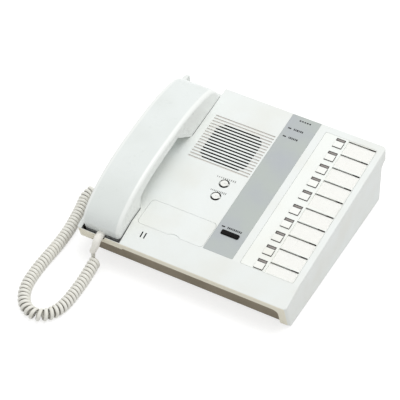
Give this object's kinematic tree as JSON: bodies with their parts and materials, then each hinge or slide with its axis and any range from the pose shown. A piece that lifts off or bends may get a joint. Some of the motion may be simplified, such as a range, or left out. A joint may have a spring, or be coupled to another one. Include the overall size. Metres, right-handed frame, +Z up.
{
  "type": "desk intercom",
  "caption": "Wedge-shaped desk intercom master station with a lift-off handset on a curly cord, a column of station keys with name cards, a slotted speaker grille and a grey control strip.",
  "frame": {"origin": "on the desk, in the middle of the body's footprint", "axes": "+Z up, +Y towards the back edge, +X to the user's right"},
  "size_m": [0.2574, 0.3088, 0.0884],
  "materials": {
    "body_white": "fine satin texture, white with a slight green tint",
    "handset_white": "semi-gloss",
    "base_beige": "matt",
    "strip_grey": "fine matt",
    "panel_white": "satin",
    "key_white": "satin",
    "button_black": "satin",
    "knob_dark": "matt",
    "lens_grey": "smoked, glossy",
    "card_paper": "uncoated card",
    "clear": "clear moulded plastic",
    "cord_cream": "smooth vinyl",
    "boot_cream": "smooth",
    "foot_rubber": "matt",
    "steel": "zinc plated",
    "ferrite": "ground ferrite",
    "cone_paper": "pressed paper",
    "board_green": "solder resist",
    "dark_plastic": "matt",
    "lamp_red": "diffused epoxy",
    "capsule": "drawn can"
  },
  "bodies": {
    "body": {"base_cover": "base_beige", "base_screws": "steel", "blank_cover_plate": "body_white", "board_parts": "dark_plastic", "board_screws": "steel", "card_windows": "clear", "control_strip": "strip_grey", "cord_lead": "cord_cream", "cord_plug": "clear", "cord_tail": "cord_cream", "curly_cord": "cord_cream", "handset_jack": "dark_plastic", "hook_switch": "dark_plastic", "key_board": "board_green", "key_panel": "panel_white", "key_switches": "dark_plastic", "line_transformer": "steel", "main_board": "board_green", "microphone_boot": "foot_rubber", "microphone_capsule": "capsule", "name_cards": "card_paper", "rubber_feet": "foot_rubber", "speaker_cone": "cone_paper", "speaker_frame": "steel", "speaker_magnet": "ferrite", "speaker_screws": "steel", "station_lamp_lenses": "lens_grey", "station_lamps": "lamp_red", "strip_lamp_windows": "lens_grey", "strip_lamps": "lamp_red", "terminal_block": "dark_plastic", "terminal_screws": "steel", "top_cover": "body_white", "transfer_switch": "dark_plastic", "volume_potentiometers": "dark_plastic"},
    "key_01_body": {"key_01": "key_white"},
    "key_02_body": {"key_02": "key_white"},
    "key_03_body": {"key_03": "key_white"},
    "key_04_body": {"key_04": "key_white"},
    "key_05_body": {"key_05": "key_white"},
    "key_06_body": {"key_06": "key_white"},
    "key_07_body": {"key_07": "key_white"},
    "key_08_body": {"key_08": "key_white"},
    "key_09_body": {"key_09": "key_white"},
    "key_10_body": {"key_10": "key_white"},
    "transfer_button_body": {"transfer_button": "button_black"},
    "speaker_volume": {"speaker_volume_knob": "knob_dark", "speaker_volume_shaft": "steel"},
    "handset_volume": {"handset_volume_knob": "knob_dark", "handset_volume_shaft": "steel"},
    "hook_plunger_body": {"hook_plunger": "body_white"},
    "handset": {"handset_top_shell": "handset_white", "handset_bottom_shell": "handset_white", "handset_receiver": "capsule", "handset_microphone": "capsule", "handset_screws": "steel", "cord_boot": "boot_cream"}
  },
  "joints": [
    {"name": "key_01_press", "type": "slide", "parent": "body", "child": "key_01_body", "axis": [0, 0.1145, -0.9934], "range_m": [0, 0.0012], "stiffness_N_per_m": 150, "springref_m": -0.0004},
    {"name": "key_02_press", "type": "slide", "parent": "body", "child": "key_02_body", "axis": [0, 0.1145, -0.9934], "range_m": [0, 0.0012], "stiffness_N_per_m": 150, "springref_m": -0.0004},
    {"name": "key_03_press", "type": "slide", "parent": "body", "child": "key_03_body", "axis": [0, 0.1145, -0.9934], "range_m": [0, 0.0012], "stiffness_N_per_m": 150, "springref_m": -0.0004},
    {"name": "key_04_press", "type": "slide", "parent": "body", "child": "key_04_body", "axis": [0, 0.1145, -0.9934], "range_m": [0, 0.0012], "stiffness_N_per_m": 150, "springref_m": -0.0004},
    {"name": "key_05_press", "type": "slide", "parent": "body", "child": "key_05_body", "axis": [0, 0.1145, -0.9934], "range_m": [0, 0.0012], "stiffness_N_per_m": 150, "springref_m": -0.0004},
    {"name": "key_06_press", "type": "slide", "parent": "body", "child": "key_06_body", "axis": [0, 0.1145, -0.9934], "range_m": [0, 0.0012], "stiffness_N_per_m": 150, "springref_m": -0.0004},
    {"name": "key_07_press", "type": "slide", "parent": "body", "child": "key_07_body", "axis": [0, 0.1145, -0.9934], "range_m": [0, 0.0012], "stiffness_N_per_m": 150, "springref_m": -0.0004},
    {"name": "key_08_press", "type": "slide", "parent": "body", "child": "key_08_body", "axis": [0, 0.1145, -0.9934], "range_m": [0, 0.0012], "stiffness_N_per_m": 150, "springref_m": -0.0004},
    {"name": "key_09_press", "type": "slide", "parent": "body", "child": "key_09_body", "axis": [0, 0.1145, -0.9934], "range_m": [0, 0.0012], "stiffness_N_per_m": 150, "springref_m": -0.0004},
    {"name": "key_10_press", "type": "slide", "parent": "body", "child": "key_10_body", "axis": [0, 0.1145, -0.9934], "range_m": [0, 0.0012], "stiffness_N_per_m": 150, "springref_m": -0.0004},
    {"name": "transfer_button_press", "type": "slide", "parent": "body", "child": "transfer_button_body", "axis": [0, 0.1145, -0.9934], "range_m": [0, 0.0013], "stiffness_N_per_m": 150, "springref_m": -0.0004},
    {"name": "speaker_volume_turn", "type": "hinge", "parent": "body", "child": "speaker_volume", "pos_m": [-0.0081, -0.00241, 0.05122], "axis": [0, -0.1145, 0.9934], "range_deg": [-140, 140]},
    {"name": "handset_volume_turn", "type": "hinge", "parent": "body", "child": "handset_volume", "pos_m": [-0.0081, -0.0192, 0.04929], "axis": [0, -0.1145, 0.9934], "range_deg": [-140, 140]},
    {"name": "handset_lift", "type": "slide", "parent": "body", "child": "handset", "axis": [0, 0, 1], "range_m": [0, 0.07]},
    {"name": "hook_rise", "type": "slide", "parent": "body", "child": "hook_plunger_body", "axis": [0, -0.1145, 0.9934], "range_m": [0, 0.0035]}
  ],
  "couplings": [
    {"joint": "hook_rise", "follows": "handset_lift", "ratio": 0.05}
  ]
}
